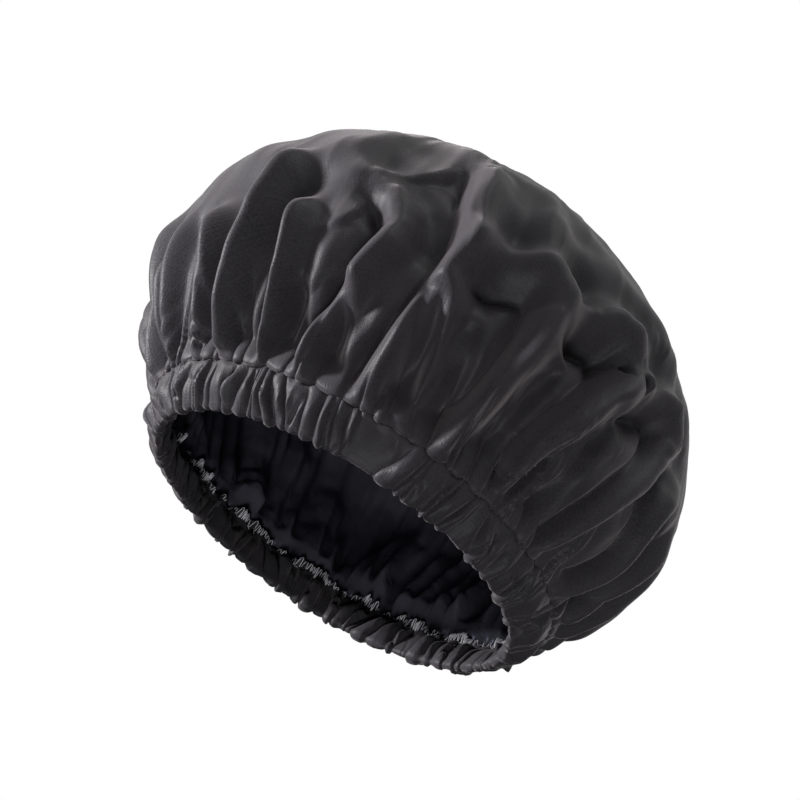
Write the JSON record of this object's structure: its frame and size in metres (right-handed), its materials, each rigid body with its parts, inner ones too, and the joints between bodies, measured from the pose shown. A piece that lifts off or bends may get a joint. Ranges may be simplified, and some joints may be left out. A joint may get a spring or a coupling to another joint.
{
  "type": "shower cap",
  "caption": "Gathered black cloth shower cap with a waterproof film lining and a folded elastic casing round its rim.",
  "frame": {"origin": "middle of the rim, on the plane that the rim rests on", "axes": "+Z from the rim up to the crown, -Y towards the side where the elastic is joined, +X to the right of it"},
  "size_m": [0.283, 0.2829, 0.197],
  "materials": {
    "black_cloth": "fine plain weave with a soft sheen",
    "black_film": "smooth waterproof film",
    "black_elastic": "woven elastic, dull",
    "black_thread": "spun sewing thread",
    "pale_thread": "spun overlock thread, pale grey"
  },
  "bodies": {
    "root": {"crown_shell": "black_cloth", "lining": "black_film", "casing": "black_cloth", "elastic_band": "black_elastic", "elastic_join_stitch": "black_thread", "casing_join_thread": "black_thread", "overlock_needle_thread": "pale_thread", "overlock_upper_looper_thread": "pale_thread", "overlock_lower_looper_thread": "pale_thread"}
  },
  "joints": []
}
